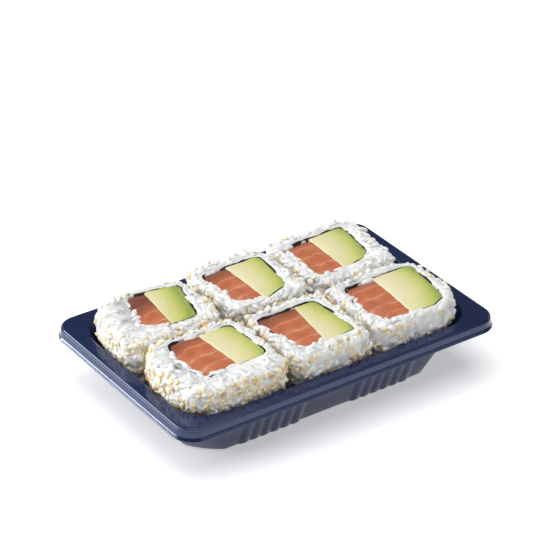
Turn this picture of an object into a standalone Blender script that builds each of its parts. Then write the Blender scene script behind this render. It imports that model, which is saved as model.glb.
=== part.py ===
"""Takeaway sushi tray: six inside-out rolls standing on end in a moulded plastic tray.

Metres, +Z up. The origin is at the middle of the tray's base, X runs along the tray and Y across it,
and the open front of the tray faces -Y. Sizes are given in millimetres and turned into metres once.
"""

import math
import random

import bmesh
import bpy
from mathutils import Matrix, Vector, geometry, noise
from mathutils.bvhtree import BVHTree

MM = 0.001

# The tray, in millimetres: half sizes are (along X, along Y)
TRAY_HEIGHT = 27.5
SHEET = 0.9
FLANGE_HALF = (81.0, 50.85)
FLANGE_CORNER = 9.0
OPENING_HALF = (73.6, 44.6)
OPENING_CORNER = 16.0
BASE_HALF = (63.5, 35.2)
BASE_CORNER = 12.5
BASE_CORNER_POWER = 1.25
FOOT_WIDTH = 7.0
FOOT_HEIGHT = 2.0
FOOT_EDGE = 0.8
FLOOR_TOP = FOOT_HEIGHT + SHEET

# The rim hangs from the flange as a skirt that ends in an outward lip
SKIRT_DROP = 3.3
SKIRT_FLARE = 0.4
LIP_DROP = 5.0
LIP_FLARE = 1.2
EDGE_ROUNDING = 0.5
SHARP_ANGLE = 30.0

# The flutes moulded into the walls, in two groups on a long side and one on a short side
RIB_PITCH = 5.2
RIB_DEPTH = 1.05
RIB_FOOT = 0.28
RIBS_IN_GROUP = 6
RIB_TOP = 20.0
CENTRE_PANEL_HALF = 13.2
RIM_CORNER_STEPS = 8
WALL_CORNER_STEPS = 5

# The rolls
ROLL_TOP = 38.0
ROLL_EDGE = 3.0
ROLL_CORNER = 7.0
FILLING_CORNER = 3.0
CORNER_STEPS = 2
LONGEST_SIDE = 7.0
NODE_GAP = 0.3
CORE_INSET = 0.8
LUMP = 1.1
LUMP_LENGTH = 4.6
THINNEST_RICE = 0.9
NORI = 0.6
CUT_EDGE = 0.6
SALMON_RISE = -0.2
AVOCADO_RISE = 0.2

# A grain of cooked rice and a sesame seed: length, width and thickness
GRAIN = (6.4, 2.8, 2.5)
SEED = (3.0, 1.9, 1.1)
GRAIN_SINK = 0.4
SEED_SINK = 0.1

# Where grains and seeds lie on a roll: how many, and how far below its top
GRAINS_ON_TOP = 11
GRAINS_ON_EDGE = (10, 2.2)
GRAINS_ON_SIDE = (4, 6.5)
SEEDS_ON_SIDE = (5, 5.0)
HEIGHT_SPREAD = 0.8
TURN_SPREAD = (0.3, 0.7)
TOP_BAND = (0.5, 0.8)
TRIES = 12
WELD = 0.002
DRAW = 50

# The corners of each roll and of its filling as (X, Y), counter-clockwise from the front left
ROLL_CORNERS = {
    "1": ((-73.6, 1.6), (-22.4, 1.8), (-23.4, 40.0), (-66.5, 42.2), (-73.6, 27.5)),
    "2": ((-21.9, 0.2), (19.8, -0.2), (19.6, 42.6), (-22.8, 41.8)),
    "3": ((20.4, -0.4), (66.6, -0.4), (70.0, 43.9), (20.2, 43.6)),
    "4": ((-73.6, -44.6), (-22.2, -44.6), (-22.4, 1.2), (-67.0, 1.0), (-73.6, -11.0)),
    "5": ((-21.6, -44.6), (19.9, -44.6), (19.8, -0.8), (-21.8, -0.4)),
    "6": ((20.5, -44.6), (61.5, -44.6), (69.8, -33.0), (70.6, -11.0), (62.5, -1.0), (20.4, -1.0)),
}
FILLING_CORNERS = {
    "1": ((-60.6, 14.0), (-50.7, 8.8), (-35.9, 8.2), (-28.6, 33.6), (-53.4, 37.6)),
    "2": ((-16.6, 5.6), (-2.6, 3.6), (10.8, 8.2), (13.8, 34.0), (-17.0, 33.6)),
    "3": ((25.4, 5.8), (39.4, 5.6), (56.4, 9.2), (60.8, 35.6), (26.4, 34.0)),
    "4": ((-60.4, -33.4), (-28.0, -31.4), (-28.9, -5.6), (-58.9, -4.4), (-63.4, -17.4)),
    "5": ((-12.6, -38.0), (14.6, -36.4), (12.4, -9.2), (-18.2, -8.4), (-16.4, -28.0)),
    "6": ((27.2, -40.2), (52.6, -40.4), (61.0, -36.8), (65.0, -8.6), (28.6, -9.0), (24.2, -24.4)),
}

# Where the salmon meets the avocado, as a point at the back and one at the front
SPLITS = {
    "1": ((-45.0, 35.2), (-48.0, 12.1)),
    "2": ((-4.1, 30.4), (-3.9, 4.9)),
    "3": ((41.4, 32.2), (40.5, 8.1)),
    "4": ((-44.7, -8.5), (-43.3, -31.0)),
    "5": ((1.7, -10.9), (-2.4, -37.6)),
    "6": ((43.6, -12.9), (41.5, -36.4)),
}

# How much lower than ROLL_TOP each roll is cut
CUT_LOWER = {"1": 0.3, "2": 0.0, "3": 0.6, "4": 0.0, "5": 0.4, "6": 0.0}

# Colour, roughness and metallic of each material
NAVY = ((0.012, 0.018, 0.055), 0.16, 0.0)
RICE_WHITE = ((0.80, 0.78, 0.72), 0.45, 0.0)
NORI_BLACK = ((0.012, 0.014, 0.010), 0.60, 0.0)
SALMON_PINK = ((0.66, 0.20, 0.085), 0.38, 0.0)
AVOCADO_GREEN = ((0.62, 0.60, 0.22), 0.42, 0.0)


def clear_scene():
    for thing in list(bpy.data.objects):
        bpy.data.objects.remove(thing, do_unlink=True)


def make_material(name, finish):
    colour, roughness, metallic = finish
    material = bpy.data.materials.new(name)
    material.use_nodes = True
    shader = material.node_tree.nodes["Principled BSDF"]
    shader.inputs["Base Color"].default_value = (*colour, 1.0)
    shader.inputs["Roughness"].default_value = roughness
    shader.inputs["Metallic"].default_value = metallic
    return material


def add_object(name, mesh, material=None):
    thing = bpy.data.objects.new(name, mesh)
    bpy.context.scene.collection.objects.link(thing)
    if material:
        mesh.materials.append(material)
    return thing


def mesh_from(name, bm):
    """Makes a closed skin into a mesh whose faces point out."""
    bmesh.ops.recalc_face_normals(bm, faces=bm.faces)
    if bm.calc_volume(signed=True) < 0:
        bmesh.ops.reverse_faces(bm, faces=bm.faces)
    mesh = bpy.data.meshes.new(name)
    bm.to_mesh(mesh)
    bm.free()
    return mesh


# Outlines of the tray

def mix(low, high, share):
    return low + (high - low) * share


def corner_points(half, corner, power, quadrant, steps):
    """The points of one rounded corner; a power of 2 is an arc and 1 a straight chamfer."""
    sign_x, sign_y = ((1, 1), (-1, 1), (-1, -1), (1, -1))[quadrant]
    points = []
    for step in range(steps + 1):
        angle = math.pi / 2 * step / steps
        if quadrant % 2:
            angle = math.pi / 2 - angle
        across = corner * math.cos(angle) ** (2 / power)
        along = corner * math.sin(angle) ** (2 / power)
        points.append((sign_x * (half[0] - corner + across), sign_y * (half[1] - corner + along)))
    return points


def rib_places(side_is_long):
    """Where a rib's groove and both ends of its bulge lie along a side, with how far each stands out."""
    if side_is_long:
        starts = (-CENTRE_PANEL_HALF - RIBS_IN_GROUP * RIB_PITCH, CENTRE_PANEL_HALF)
    else:
        starts = (-RIBS_IN_GROUP * RIB_PITCH / 2,)
    places = []
    for start in starts:
        for rib in range(RIBS_IN_GROUP):
            groove = start + rib * RIB_PITCH
            places.append((groove, 0.0))
            places.append((groove + RIB_FOOT * RIB_PITCH, RIB_DEPTH))
            places.append((groove + (1 - RIB_FOOT) * RIB_PITCH, RIB_DEPTH))
        places.append((start + RIBS_IN_GROUP * RIB_PITCH, 0.0))
    return places


def ring_outline(half, corner, power, steps, ribs=None):
    """A rounded rectangle, counter-clockwise from +X, with flutes of the given strength along its sides."""
    points = []
    for quadrant in range(4):
        points += corner_points(half, corner, power, quadrant, steps)
        if ribs is None:
            continue
        side_is_long = quadrant % 2 == 0
        places = rib_places(side_is_long)
        direction = (-1, -1, 1, 1)[quadrant]
        for along, depth in (reversed(places) if direction < 0 else places):
            out = depth * ribs
            if side_is_long:
                side = 1 if quadrant == 0 else -1
                points.append((along, side * (half[1] + out)))
            else:
                side = -1 if quadrant == 1 else 1
                points.append((side * (half[0] + out), along))
    return points


def wall_shape(height, inset=0.0):
    """The wall's outline at a height: half sizes, corner and corner power, moved in by inset."""
    share = height / TRAY_HEIGHT
    half = tuple(mix(low, high + SHEET, share) - inset for low, high in zip(BASE_HALF, OPENING_HALF))
    return half, mix(BASE_CORNER, OPENING_CORNER, share), mix(BASE_CORNER_POWER, 2.0, share)


def add_ring(bm, outline, height):
    verts = [bm.verts.new((x * MM, y * MM, height * MM)) for x, y in outline]
    edges = [bm.edges.new((verts[k - 1], verts[k])) for k in range(len(verts))]
    return verts, edges


def join_rings(bm, low, high):
    """Closes the band between two rings, with quads where they have the same number of points."""
    if len(low[0]) == len(high[0]):
        count = len(low[0])
        for k in range(count):
            bm.faces.new((low[0][k - 1], low[0][k], high[0][k], high[0][k - 1]))
    else:
        bmesh.ops.bridge_loops(bm, edges=low[1] + high[1])


def wall_ring(bm, height, inset, ribs):
    half, corner, power = wall_shape(height, inset)
    return add_ring(bm, ring_outline(half, corner, power, WALL_CORNER_STEPS, ribs), height)


def rim_ring(bm, flare, drop, corner=FLANGE_CORNER, half=FLANGE_HALF):
    outline = ring_outline((half[0] + flare, half[1] + flare), corner + flare, 2.0, RIM_CORNER_STEPS)
    return add_ring(bm, outline, TRAY_HEIGHT - drop)


def smooth_wall_ring(bm, height, inset):
    half, corner, power = wall_shape(height, inset)
    return add_ring(bm, ring_outline(half, corner, power, RIM_CORNER_STEPS), height)


def build_tray():
    """The tray as one skin: under the floor, out over the foot, up the wall, round the rim and down inside."""
    bm = bmesh.new()
    rings = [
        wall_ring(bm, FOOT_HEIGHT, FOOT_WIDTH + FOOT_HEIGHT, 0.0),
        wall_ring(bm, 0.0, FOOT_WIDTH, 0.0),
        wall_ring(bm, 0.0, FOOT_EDGE, 1.0),
        wall_ring(bm, FOOT_EDGE, 0.0, 1.0),
        wall_ring(bm, RIB_TOP, 0.0, 1.0),
        wall_ring(bm, TRAY_HEIGHT - SHEET, 0.0, 0.0),
        rim_ring(bm, -SHEET, SHEET),
        rim_ring(bm, SKIRT_FLARE - SHEET, SKIRT_DROP),
        rim_ring(bm, LIP_FLARE - SHEET, LIP_DROP),
        rim_ring(bm, LIP_FLARE, LIP_DROP),
        rim_ring(bm, SKIRT_FLARE, SKIRT_DROP),
        rim_ring(bm, 0.0, EDGE_ROUNDING),
        rim_ring(bm, -EDGE_ROUNDING, 0.0),
        rim_ring(bm, EDGE_ROUNDING, 0.0, OPENING_CORNER, OPENING_HALF),
        smooth_wall_ring(bm, TRAY_HEIGHT - 2 * EDGE_ROUNDING, SHEET),
        smooth_wall_ring(bm, FLOOR_TOP, SHEET),
    ]
    for low, high in zip(rings, rings[1:]):
        join_rings(bm, low, high)
    bm.faces.new(rings[0][0])
    bm.faces.new(rings[-1][0])
    mesh = mesh_from("tray", bm)
    mesh.shade_smooth()
    mesh.set_sharp_from_angle(angle=math.radians(SHARP_ANGLE))
    return add_object("tray", mesh, make_material("navy_plastic", NAVY))


# Outlines of a roll

def pairs(points):
    return zip(points, points[1:] + points[:1])


def moved_in(corners, depth):
    """A convex outline's corners with every side moved in by a depth."""
    points = []
    for before, here, after in zip(corners[-1:] + corners[:-1], corners, corners[1:] + corners[:1]):
        back = (Vector(before) - Vector(here)).normalized()
        ahead = (Vector(after) - Vector(here)).normalized()
        into = (back + ahead).normalized()
        points.append(Vector(here) + into * depth / math.sin(back.angle(ahead) / 2))
    return points


def rounded(corners, radius):
    """A convex outline with an arc at every corner and points along its longer sides."""
    centres = moved_in(corners, radius)
    normals = []
    for here, after in pairs(corners):
        side = (Vector(after) - Vector(here)).normalized()
        normals.append(Vector((side.y, -side.x)))
    arcs = []
    for centre, start, end in zip(centres, normals[-1:] + normals[:-1], normals):
        arcs += [centre + radius * start.slerp(end, step / CORNER_STEPS) for step in range(CORNER_STEPS + 1)]
    points = []
    for here, after in pairs(arcs):
        count = math.ceil((after - here).length / LONGEST_SIDE)
        points += [here.lerp(after, step / count) for step in range(count)]
    return points


def inside(outline, point):
    return all((after - here).cross(point - here) >= 0 for here, after in pairs(outline))


def meeting(outline, middle, towards):
    """Where a line from the middle towards a point leaves an outline."""
    far = middle + (towards - middle).normalized() * ROLL_TOP * 2
    for here, after in pairs(outline):
        hit = geometry.intersect_line_line_2d(middle, far, here, after)
        if hit:
            return hit
    return towards


def squeezed(point, share):
    """The rolls narrow towards the floor as the tray's walls do: share is 0 at the floor and 1 where they are free."""
    share = min(max(share, 0.0), 1.0)
    narrow_x = mix(BASE_HALF[0] / (OPENING_HALF[0] + SHEET), 1.0, share)
    narrow_y = mix(BASE_HALF[1] / (OPENING_HALF[1] + SHEET), 1.0, share)
    return Vector((point[0] * narrow_x, point[1] * narrow_y))


def keep_in_well(point, height, gap):
    """Moves a point in where it would pass the inside of the tray's wall at that height."""
    half, corner, power = wall_shape(min(height, TRAY_HEIGHT), SHEET + gap)
    far_x = abs(point.x) - (half[0] - corner)
    far_y = abs(point.y) - (half[1] - corner)
    if far_x > 0 and far_y > 0:
        reach = (far_x ** power + far_y ** power) ** (1 / power)
        if reach > corner:
            far_x *= corner / reach
            far_y *= corner / reach
    x = math.copysign(half[0] - corner + min(far_x, corner), point.x)
    y = math.copysign(half[1] - corner + min(far_y, corner), point.y)
    return Vector((x, y))


def roll_outline(key, inset):
    """The outline of a roll that stands free, moved in by an inset."""
    return rounded(moved_in(ROLL_CORNERS[key], inset), ROLL_CORNER - inset)


def filling_outline(key, grow, height=ROLL_TOP):
    """The outline of the filling, grown by a margin, as it is at a height."""
    outline = rounded(moved_in(FILLING_CORNERS[key], -grow), FILLING_CORNER + grow)
    return [squeezed(point, height / ROLL_TOP) for point in outline]


def middle_of(outline):
    return sum(outline, Vector((0.0, 0.0))) / len(outline)


def lump(point, height):
    """The uneven surface of pressed rice, as an in and out of grain size."""
    return LUMP * noise.noise(Vector((*point, height)) / LUMP_LENGTH)


# Solids of a roll

HOLE_MARGIN = NORI + 2 * NODE_GAP
FOOT_ROUNDING = (1.5, 2.0)
LUMPS_STEADY_TO = TRAY_HEIGHT - 3.0
FREE_FROM = TRAY_HEIGHT + 2.0
EDGE_ARC_STEPS = 3


def rice_levels(bottom, top):
    """Inset and height of each ring of the rice, from its foot over its side to its rounded top edge."""
    levels = [(FOOT_ROUNDING[0], bottom), (0.0, bottom + FOOT_ROUNDING[1]), (0.0, LUMPS_STEADY_TO), (0.0, FREE_FROM)]
    for step in range(EDGE_ARC_STEPS + 1):
        angle = math.pi / 2 * step / EDGE_ARC_STEPS
        levels.append((ROLL_EDGE * (1 - math.cos(angle)), top - ROLL_EDGE * (1 - math.sin(angle))))
    return levels


def rice_core(name, key):
    """The rice under the grains: a ring round the filling's hole, with a rounded top edge and a lumpy skin."""
    bottom = FLOOR_TOP + NODE_GAP
    top = ROLL_TOP - CUT_LOWER[key]
    bm = bmesh.new()
    rings = []
    for inset, height in rice_levels(bottom, top):
        share = height / TRAY_HEIGHT
        outer = [squeezed(point, share) for point in roll_outline(key, inset + CORE_INSET)]
        hole = filling_outline(key, HOLE_MARGIN, height)
        middle = middle_of(hole)
        outline = []
        for edge in hole:
            out = (edge - middle).normalized()
            point = keep_in_well(meeting(outer, middle, edge), height, NODE_GAP + CORE_INSET + inset)
            if height > bottom:
                point += out * min(lump(point, height), CORE_INSET - NODE_GAP)
            thinnest = (edge - middle).length + THINNEST_RICE
            outline.append(middle + out * max((point - middle).dot(out), thinnest))
        rings.append(add_ring(bm, outline, height))
    for height in (top, bottom):
        rings.append(add_ring(bm, filling_outline(key, HOLE_MARGIN, height), height))
    for low, high in pairs(rings):
        join_rings(bm, low, high)
    return add_object(name, mesh_from(name, bm))


def kernel_mesh(size, place, normal, heading, sink):
    """A grain or seed lying on the surface at place, turned by heading round the surface's normal."""
    bm = bmesh.new()
    bmesh.ops.create_icosphere(bm, subdivisions=1, radius=0.5 * MM)
    bmesh.ops.scale(bm, vec=size, verts=bm.verts)
    lay = normal.to_track_quat("Z", "Y").to_matrix().to_4x4()
    move = Matrix.Translation(place - normal * sink * MM) @ lay @ Matrix.Rotation(heading, 4, "Z")
    bmesh.ops.transform(bm, matrix=move, verts=bm.verts)
    return bm


KERNEL_CLEAR = 0.2
HELD = 0.01


def kernel_fits(bm, key):
    """True where the kernel stays in its roll's outline, inside the tray's wall and clear of the hole."""
    roll = roll_outline(key, 0.0)
    hole = filling_outline(key, HOLE_MARGIN + KERNEL_CLEAR)
    for vert in bm.verts:
        x, y, height = vert.co / MM
        point = Vector((x, y))
        narrow = squeezed((1.0, 1.0), height / TRAY_HEIGHT)
        if not inside(roll, Vector((x / narrow.x, y / narrow.y))):
            return False
        if height < TRAY_HEIGHT and (keep_in_well(point, height, NODE_GAP) - point).length > HELD:
            return False
        if inside(hole, point):
            return False
    return True


def lay_kernel(target, tree, key, size, sink, start, aim, draw):
    """Turns a kernel until it fits where the aim meets the core, and leaves it out if it never does."""
    place, normal, _, _ = tree.ray_cast(start, aim)
    if place is None:
        return
    for _ in range(TRIES):
        bm = kernel_mesh(size, place, normal, draw.uniform(0, math.pi), sink)
        if kernel_fits(bm, key):
            mesh = bpy.data.meshes.new("kernel")
            bm.to_mesh(mesh)
            bm.free()
            target.objects.link(bpy.data.objects.new("kernel", mesh))
            return
        bm.free()


def around(count, draw):
    """Directions spread evenly round a roll, each a little off its place."""
    for k in range(count):
        angle = 2 * math.pi * (k + draw.uniform(*TURN_SPREAD)) / count
        yield Vector((math.cos(angle), math.sin(angle)))


def scatter_kernels(core, key, draw):
    """Lays grains over the top and the shoulders of a roll and grains and seeds down its sides, evenly."""
    target = bpy.data.collections.new("kernels")
    bpy.context.scene.collection.children.link(target)
    bm = bmesh.new()
    bm.from_mesh(core.data)
    tree = BVHTree.FromBMesh(bm)
    bm.free()
    top = ROLL_TOP - CUT_LOWER[key]
    rim = roll_outline(key, ROLL_EDGE)
    hole = filling_outline(key, NORI)
    middle = middle_of(hole)
    for out in around(GRAINS_ON_TOP, draw):
        spot = meeting(hole, middle, middle + out).lerp(meeting(rim, middle, middle + out), draw.uniform(*TOP_BAND))
        above = Vector((*spot, 2 * ROLL_TOP)) * MM
        lay_kernel(target, tree, key, GRAIN, GRAIN_SINK, above, Vector((0, 0, -1)), draw)
    bands = ((GRAINS_ON_EDGE, GRAIN, GRAIN_SINK), (GRAINS_ON_SIDE, GRAIN, GRAIN_SINK), (SEEDS_ON_SIDE, SEED, SEED_SINK))
    for (count, drop), size, sink in bands:
        for out in around(count, draw):
            height = top - drop + draw.uniform(-HEIGHT_SPREAD, HEIGHT_SPREAD)
            start = Vector((*(middle + out * 2 * ROLL_TOP), height)) * MM
            lay_kernel(target, tree, key, size, sink, start, Vector((*-out, 0)), draw)
    return target


def fuse(thing, collection):
    """Joins a collection's objects to a solid in one union, and removes them."""
    modifier = thing.modifiers.new("fuse", "BOOLEAN")
    modifier.operation = "UNION"
    modifier.solver = "MANIFOLD"
    modifier.operand_type = "COLLECTION"
    modifier.collection = collection
    depsgraph = bpy.context.evaluated_depsgraph_get()
    mesh = bpy.data.meshes.new_from_object(thing.evaluated_get(depsgraph))
    thing.modifiers.clear()
    thing.data = mesh
    bm = bmesh.new()
    bm.from_mesh(mesh)
    bmesh.ops.dissolve_degenerate(bm, dist=WELD * MM, edges=bm.edges)
    bmesh.ops.triangulate(bm, faces=bm.faces)
    bm.to_mesh(mesh)
    bm.free()
    for piece in list(collection.objects):
        bpy.data.objects.remove(piece, do_unlink=True)
    bpy.data.collections.remove(collection)


def build_rice(key, material):
    draw = random.Random(DRAW + int(key))
    rice = rice_core("rice_" + key, key)
    fuse(rice, scatter_kernels(rice, key, draw))
    rice.data.materials.clear()
    rice.data.materials.append(material)


def build_nori(key, material):
    """The sheet of seaweed round the filling, as a thin tube as tall as the roll."""
    bottom = FLOOR_TOP + NODE_GAP
    top = ROLL_TOP - CUT_LOWER[key]
    bm = bmesh.new()
    walk = ((NODE_GAP + NORI, bottom), (NODE_GAP + NORI, top), (NODE_GAP, top), (NODE_GAP, bottom))
    rings = [add_ring(bm, filling_outline(key, grow, height), height) for grow, height in walk]
    for low, high in pairs(rings):
        join_rings(bm, low, high)
    name = "nori_" + key
    add_object(name, mesh_from(name, bm), material)


def filling_part(key, side, inset):
    """The filling's outline on one side of its split: side is -1 for the salmon and 1 for the avocado."""
    back, front = (Vector(point) for point in SPLITS[key])
    along = (back - front).normalized()
    right = Vector((along.y, -along.x))
    edge = side * right.dot(back) + NODE_GAP / 2 + inset
    points = []
    for here, after in pairs(filling_outline(key, -inset)):
        start = side * right.dot(here) - edge
        end = side * right.dot(after) - edge
        if start > 0:
            points.append(here)
        if start * end < 0:
            points.append(here.lerp(after, start / (start - end)))
    return points


def build_filling(key, name, side, rise, material):
    """Half of the filling as a bar through the roll, with a slightly rounded cut edge."""
    top = ROLL_TOP - CUT_LOWER[key] + rise
    bm = bmesh.new()
    rings = []
    for inset, height in ((0.0, FLOOR_TOP + NODE_GAP), (0.0, top - CUT_EDGE), (CUT_EDGE, top)):
        outline = [squeezed(point, height / ROLL_TOP) for point in filling_part(key, side, inset)]
        rings.append(add_ring(bm, outline, height))
    for low, high in zip(rings, rings[1:]):
        join_rings(bm, low, high)
    bm.faces.new(rings[0][0])
    bm.faces.new(rings[-1][0])
    add_object(name, mesh_from(name, bm), material)


def build_rolls():
    rice = make_material("rice", RICE_WHITE)
    nori = make_material("nori", NORI_BLACK)
    salmon = make_material("salmon", SALMON_PINK)
    avocado = make_material("avocado", AVOCADO_GREEN)
    for key in ROLL_CORNERS:
        build_rice(key, rice)
        build_nori(key, nori)
        build_filling(key, "salmon_" + key, -1, SALMON_RISE, salmon)
        build_filling(key, "avocado_" + key, 1, AVOCADO_RISE, avocado)


clear_scene()
build_tray()
build_rolls()
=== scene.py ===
"""Looks of the takeaway sushi tray: a glossy navy tray and six inside-out rolls with salmon and avocado.

Metres, +Z up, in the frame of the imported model. Sizes are given in millimetres and multiplied by MM.
"""

import math
import random

import bmesh
import bpy
import numpy as np
from mathutils import Matrix, Vector, noise
from mathutils.bvhtree import BVHTree


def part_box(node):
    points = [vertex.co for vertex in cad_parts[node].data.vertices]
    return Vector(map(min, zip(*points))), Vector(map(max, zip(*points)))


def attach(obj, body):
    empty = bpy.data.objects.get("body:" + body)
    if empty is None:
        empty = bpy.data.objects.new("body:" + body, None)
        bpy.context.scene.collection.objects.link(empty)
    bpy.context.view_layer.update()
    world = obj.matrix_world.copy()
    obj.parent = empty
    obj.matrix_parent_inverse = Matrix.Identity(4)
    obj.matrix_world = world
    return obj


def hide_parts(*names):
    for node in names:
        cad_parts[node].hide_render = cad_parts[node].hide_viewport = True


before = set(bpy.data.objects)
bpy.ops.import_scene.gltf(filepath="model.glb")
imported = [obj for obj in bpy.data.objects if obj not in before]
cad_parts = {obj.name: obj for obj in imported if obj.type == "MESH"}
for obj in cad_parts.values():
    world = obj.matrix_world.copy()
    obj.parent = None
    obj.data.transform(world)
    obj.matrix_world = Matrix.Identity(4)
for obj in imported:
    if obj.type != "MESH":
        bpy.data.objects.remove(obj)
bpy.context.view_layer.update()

MM = 0.001
BODY = "root"

# The tray's own sizes, as in the solid
TRAY_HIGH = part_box("tray")[1]
TRAY_HEIGHT = TRAY_HIGH.z / MM
SHEET = 0.6
WALL_SHEET = 0.9
LIP_FLARE = 1.2
FLANGE_HALF = (TRAY_HIGH.x / MM - LIP_FLARE, TRAY_HIGH.y / MM - LIP_FLARE)
FLANGE_CORNER = 9.0
OPENING_HALF = (73.6, 44.6)
OPENING_CORNER = 16.0
BASE_HALF = (63.5, 35.2)
BASE_CORNER = 12.5
BASE_CORNER_POWER = 1.25
FOOT_WIDTH = 7.0
FOOT_HEIGHT = 2.0
FLOOR_TOP = 2.9
SKIRT_DROP = 3.3
SKIRT_FLARE = 0.4
LIP_DROP = 5.0
RIB_PITCH = 5.2
RIB_DEPTH = 1.05
RIBS_IN_GROUP = 6
RIB_TOP = 20.0
RIB_FADE = 3.5
CENTRE_PANEL_HALF = 13.2

# The rolls
ROLL_TOP = 38.0
FILLING_CORNER = 3.0
NODE_GAP = 0.3
NORI = 0.42
THINNEST_NORI = 0.15
NORI_GAP = NODE_GAP * 0.4
GRAIN = (5.9, 3.0, 2.6)
SEED = (2.9, 1.85, 1.0)
FLECK = (1.3, 0.6, 0.25)

# The corners of each filling as (X, Y), counter-clockwise from the front left, as in the solids
FILLING_CORNERS = {
    "1": ((-60.6, 14.0), (-50.7, 8.8), (-35.9, 8.2), (-28.6, 33.6), (-53.4, 37.6)),
    "2": ((-16.6, 5.6), (-2.6, 3.6), (10.8, 8.2), (13.8, 34.0), (-17.0, 33.6)),
    "3": ((25.4, 5.8), (39.4, 5.6), (56.4, 9.2), (60.8, 35.6), (26.4, 34.0)),
    "4": ((-60.4, -33.4), (-28.0, -31.4), (-28.9, -5.6), (-58.9, -4.4), (-63.4, -17.4)),
    "5": ((-12.6, -38.0), (14.6, -36.4), (12.4, -9.2), (-18.2, -8.4), (-16.4, -28.0)),
    "6": ((27.2, -40.2), (52.6, -40.4), (61.0, -36.8), (65.0, -8.6), (28.6, -9.0), (24.2, -24.4)),
}

# Where the salmon meets the avocado, as a point at the back and one at the front
SPLITS = {
    "1": ((-45.0, 35.2), (-48.0, 12.1)),
    "2": ((-4.1, 30.4), (-3.9, 4.9)),
    "3": ((41.4, 32.2), (40.5, 8.1)),
    "4": ((-44.7, -8.5), (-43.3, -31.0)),
    "5": ((1.7, -10.9), (-2.4, -37.6)),
    "6": ((43.6, -12.9), (41.5, -36.4)),
}

# How much lower than ROLL_TOP each roll is cut, and how many seeds lie on its side and on its top
CUT_LOWER = {"1": 0.3, "2": 0.0, "3": 0.6, "4": 0.0, "5": 0.4, "6": 0.0}
SEED_COUNTS = {"1": (250, 18), "2": (80, 14), "3": (50, 8), "4": (430, 12), "5": (230, 16), "6": (100, 8)}

# Where the random numbers start for each kind of thing, to which the roll's number is added
GRAIN_START = 10
SIDE_SEED_START = 60
TOP_SEED_START = 80
FLECK_START = 100
STREWN_START = 5


# Shapes

ARC_STEPS = 7


def mix(low, high, share):
    return low + (high - low) * share


def smooth_step(low, high, value):
    share = min(max((value - low) / (high - low), 0.0), 1.0)
    return share * share * (3 - 2 * share)


def pairs(points):
    return zip(points, points[1:] + points[:1])


def moved_in(corners, depth):
    """A convex outline's corners with every side moved in by a depth."""
    points = []
    for before, here, after in zip(corners[-1:] + corners[:-1], corners, corners[1:] + corners[:1]):
        back = (Vector(before) - Vector(here)).normalized()
        ahead = (Vector(after) - Vector(here)).normalized()
        into = (back + ahead).normalized()
        points.append(Vector(here) + into * depth / math.sin(back.angle(ahead) / 2))
    return points


def rounded(corners, radius):
    """A convex outline with an arc at every corner."""
    centres = moved_in(corners, radius)
    normals = []
    for here, after in pairs(corners):
        side = (Vector(after) - Vector(here)).normalized()
        normals.append(Vector((side.y, -side.x)))
    points = []
    for centre, start, end in zip(centres, normals[-1:] + normals[:-1], normals):
        points += [centre + radius * start.slerp(end, step / ARC_STEPS) for step in range(ARC_STEPS + 1)]
    return points


def evenly(points, count):
    """The same closed outline with its points evenly spaced, from its right rear point."""
    loop = np.array([tuple(point) for point in points + points[:1]])
    walk = np.concatenate([[0.0], np.cumsum(np.linalg.norm(np.diff(loop, axis=0), axis=1))])
    start = walk[int(np.argmax(loop[:-1].sum(1)))]
    marks = (start + np.linspace(0, walk[-1], count, endpoint=False)) % walk[-1]
    across = np.interp(marks, walk, loop[:, 0])
    along = np.interp(marks, walk, loop[:, 1])
    return [Vector(point) for point in zip(across, along)]


def middle_of(outline):
    return sum(outline, Vector((0.0, 0.0))) / len(outline)


def squeezed(point, share):
    """The rolls narrow towards the tray's floor as its walls do."""
    share = min(max(share, 0.0), 1.0)
    narrow_x = mix(BASE_HALF[0] / (OPENING_HALF[0] + WALL_SHEET), 1.0, share)
    narrow_y = mix(BASE_HALF[1] / (OPENING_HALF[1] + WALL_SHEET), 1.0, share)
    return Vector((point[0] * narrow_x, point[1] * narrow_y))


def add_piece(name, mesh, material, *nodes, slot=None):
    """Links a mesh as a piece of the object that stands for the given nodes."""
    for polygon in mesh.polygons:
        polygon.use_smooth = True
    piece = bpy.data.objects.new(name, mesh)
    bpy.context.scene.collection.objects.link(piece)
    mesh.materials.clear()
    mesh.materials.append(material)
    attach(piece, BODY)
    if nodes:
        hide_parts(*nodes)
    return piece


def mesh_from_arrays(name, verts, faces):
    mesh = bpy.data.meshes.new(name)
    mesh.from_pydata([tuple(v) for v in verts], [], [tuple(f) for f in faces])
    mesh.validate()
    return mesh


def skin_from_rings(name, rings, close_low=True, close_high=True):
    """A closed skin through rings of points in millimetres, all with the same count."""
    count = len(rings[0])
    verts = [(x * MM, y * MM, z * MM) for ring in rings for x, y, z in ring]
    faces = []
    for level in range(len(rings) - 1):
        low = level * count
        high = low + count
        for k in range(count):
            nxt = (k + 1) % count
            faces.append((low + k, low + nxt, high + nxt, high + k))
    if close_low:
        faces.append(tuple(reversed(range(count))))
    if close_high:
        last = (len(rings) - 1) * count
        faces.append(tuple(range(last, last + count)))
    mesh = mesh_from_arrays(name, verts, faces)
    face_out(mesh)
    return mesh


def face_out(mesh, weld=False):
    """Turns a mesh's faces outwards, with points in the same place joined if asked."""
    bm = bmesh.new()
    bm.from_mesh(mesh)
    if weld:
        bmesh.ops.remove_doubles(bm, verts=bm.verts, dist=0.001 * MM)
    bmesh.ops.recalc_face_normals(bm, faces=bm.faces)
    if bm.calc_volume(signed=True) < 0:
        bmesh.ops.reverse_faces(bm, faces=bm.faces)
    bm.to_mesh(mesh)
    bm.free()


# Materials

# The mix node's sockets for its share and two colours, and its output for a colour
MIX_SOCKETS = (0, 6, 7)
MIX_RESULT = 2

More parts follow.
